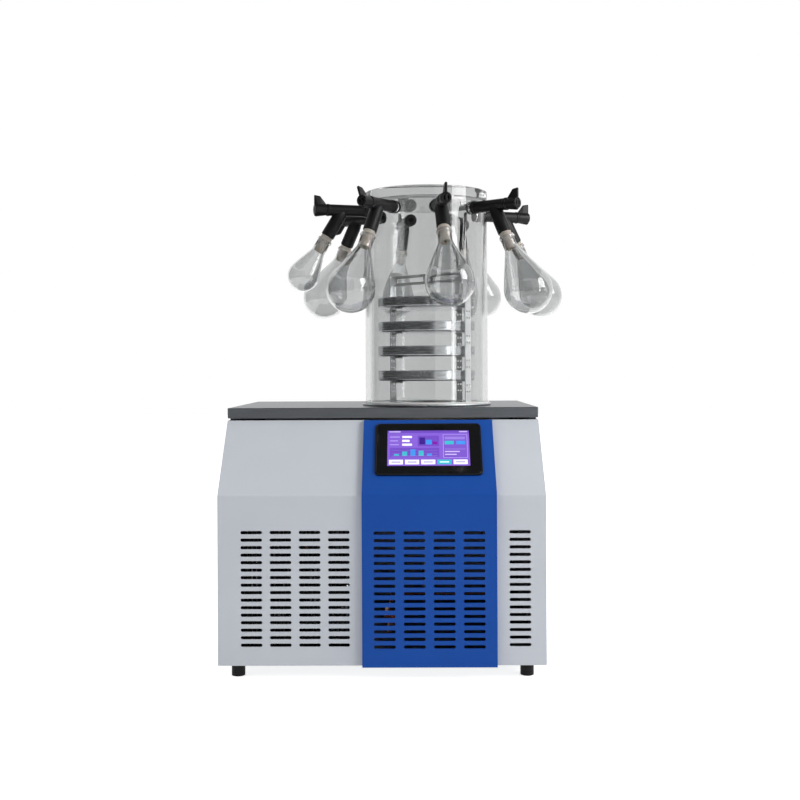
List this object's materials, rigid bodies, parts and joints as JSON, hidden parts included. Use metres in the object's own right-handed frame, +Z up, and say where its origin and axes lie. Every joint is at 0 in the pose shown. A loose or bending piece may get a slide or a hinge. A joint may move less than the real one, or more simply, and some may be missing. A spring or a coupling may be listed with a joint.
{
  "type": "freeze dryer",
  "caption": "Bench-top manifold freeze dryer: sheet-metal cabinet with sloped touch-screen panel, clear drum with tray rack, and rubber valves holding glass flasks round its top.",
  "frame": {"origin": "bottom centre of the whole machine's bounding box, on the bench", "axes": "+X to the operator's right, +Y to the machine's back, +Z up"},
  "size_m": [0.6772, 0.6861, 0.925],
  "materials": {
    "galvanised_steel": "galvanised sheet",
    "white_powder_coat": "light grey powder coat, satin",
    "blue_powder_coat": "blue powder coat, satin",
    "brushed_stainless": "brushed",
    "frame_steel": "grey painted steel",
    "black_rubber": "moulded, satin",
    "zinc_plated_steel": "zinc plated",
    "black_abs": "moulded, matt",
    "screen_glass": "back-printed cover glass over a lit display",
    "black_enamel": "black enamel",
    "aluminium": "mill finish",
    "motor_steel": "painted",
    "stainless_steel": "satin",
    "foam": "cellular foam",
    "copper": "drawn copper tube",
    "brass": "machined",
    "lever_steel": "dipped lever",
    "seal_rubber": "silicone gasket",
    "clear_acrylic": "clear cast acrylic, polished",
    "black_plastic": "moulded",
    "silicone": "beige silicone",
    "borosilicate_glass": "clear blown glass"
  },
  "bodies": {
    "machine": {"base_pan": "galvanised_steel", "left_cover": "white_powder_coat", "right_cover": "white_powder_coat", "rear_panel": "white_powder_coat", "centre_panel": "blue_powder_coat", "worktop": "brushed_stainless", "inner_frame": "frame_steel", "feet": "black_rubber", "panel_screws": "zinc_plated_steel", "screen_bezel": "black_abs", "screen_glass": "screen_glass", "control_box": "frame_steel", "power_inlet": "black_abs", "compressor": "black_enamel", "condenser": "aluminium", "fan_shroud": "frame_steel", "fan_motor": "motor_steel", "trap_cup": "stainless_steel", "trap_insulation": "foam", "evaporator_coil": "copper", "refrigerant_lines": "copper", "vacuum_port": "stainless_steel", "drain_valve": "brass", "chamber_seal": "seal_rubber", "chamber_tube": "clear_acrylic", "chamber_lid": "clear_acrylic", "rack_frame": "stainless_steel", "tray_1": "stainless_steel", "tray_2": "stainless_steel", "tray_3": "stainless_steel", "tray_4": "stainless_steel", "valve_body_1": "black_rubber", "flask_1": "borosilicate_glass", "valve_body_2": "black_rubber", "flask_2": "borosilicate_glass", "valve_body_3": "black_rubber", "flask_3": "borosilicate_glass", "valve_body_4": "black_rubber", "flask_4": "borosilicate_glass", "valve_body_5": "black_rubber", "flask_5": "borosilicate_glass", "valve_body_6": "black_rubber", "flask_6": "borosilicate_glass", "valve_body_7": "black_rubber", "flask_7": "borosilicate_glass", "valve_body_8": "black_rubber", "flask_8": "borosilicate_glass", "stoppers": "silicone"},
    "fan": {"fan_blade": "black_abs"},
    "switch": {"power_rocker": "black_abs"},
    "drain_handle": {"drain_lever": "lever_steel"},
    "knob_1": {"valve_knob_1": "black_plastic"},
    "knob_2": {"valve_knob_2": "black_plastic"},
    "knob_3": {"valve_knob_3": "black_plastic"},
    "knob_4": {"valve_knob_4": "black_plastic"},
    "knob_5": {"valve_knob_5": "black_plastic"},
    "knob_6": {"valve_knob_6": "black_plastic"},
    "knob_7": {"valve_knob_7": "black_plastic"},
    "knob_8": {"valve_knob_8": "black_plastic"}
  },
  "joints": [
    {"name": "fan_spin", "type": "hinge", "parent": "machine", "child": "fan", "pos_m": [-0.19681, -0.22425, 0.1515], "axis": [0, 1, 0], "continuous": true},
    {"name": "switch_rock", "type": "hinge", "parent": "machine", "child": "switch", "pos_m": [0.20639, 0.27775, 0.1315], "axis": [1, 0, 0], "range_deg": [0, 18]},
    {"name": "drain_turn", "type": "hinge", "parent": "machine", "child": "drain_handle", "pos_m": [0.04839, 0.30515, 0.115], "axis": [0, 0, 1], "range_deg": [0, 90]},
    {"name": "valve_turn_1", "type": "hinge", "parent": "machine", "child": "knob_1", "pos_m": [0.07943, -0.23594, 0.884], "axis": [0.1478, -0.989, 0], "range_deg": [0, 180]},
    {"name": "valve_turn_2", "type": "hinge", "parent": "machine", "child": "knob_2", "pos_m": [0.20445, -0.16877, 0.884], "axis": [0.7431, -0.6691, 0], "range_deg": [0, 180]},
    {"name": "valve_turn_3", "type": "hinge", "parent": "machine", "child": "knob_3", "pos_m": [0.2431, 0.05042, 0.884], "axis": [0.9272, 0.3746, 0], "range_deg": [0, 180]},
    {"name": "valve_turn_4", "type": "hinge", "parent": "machine", "child": "knob_4", "pos_m": [0.14536, 0.15802, 0.884], "axis": [0.4617, 0.887, 0], "range_deg": [0, 180]},
    {"name": "valve_turn_5", "type": "hinge", "parent": "machine", "child": "knob_5", "pos_m": [-0.00949, 0.17362, 0.884], "axis": [-0.2756, 0.9613, 0], "range_deg": [0, 180]},
    {"name": "valve_turn_6", "type": "hinge", "parent": "machine", "child": "knob_6", "pos_m": [-0.12467, 0.0907, 0.884], "axis": [-0.8241, 0.5664, 0], "range_deg": [-180, 0]},
    {"name": "valve_turn_7", "type": "hinge", "parent": "machine", "child": "knob_7", "pos_m": [-0.15133, -0.09314, 0.884], "axis": [-0.9511, -0.309, 0], "range_deg": [0, 180]},
    {"name": "valve_turn_8", "type": "hinge", "parent": "machine", "child": "knob_8", "pos_m": [-0.06289, -0.20634, 0.884], "axis": [-0.5299, -0.848, 0], "range_deg": [-17, 163]}
  ]
}
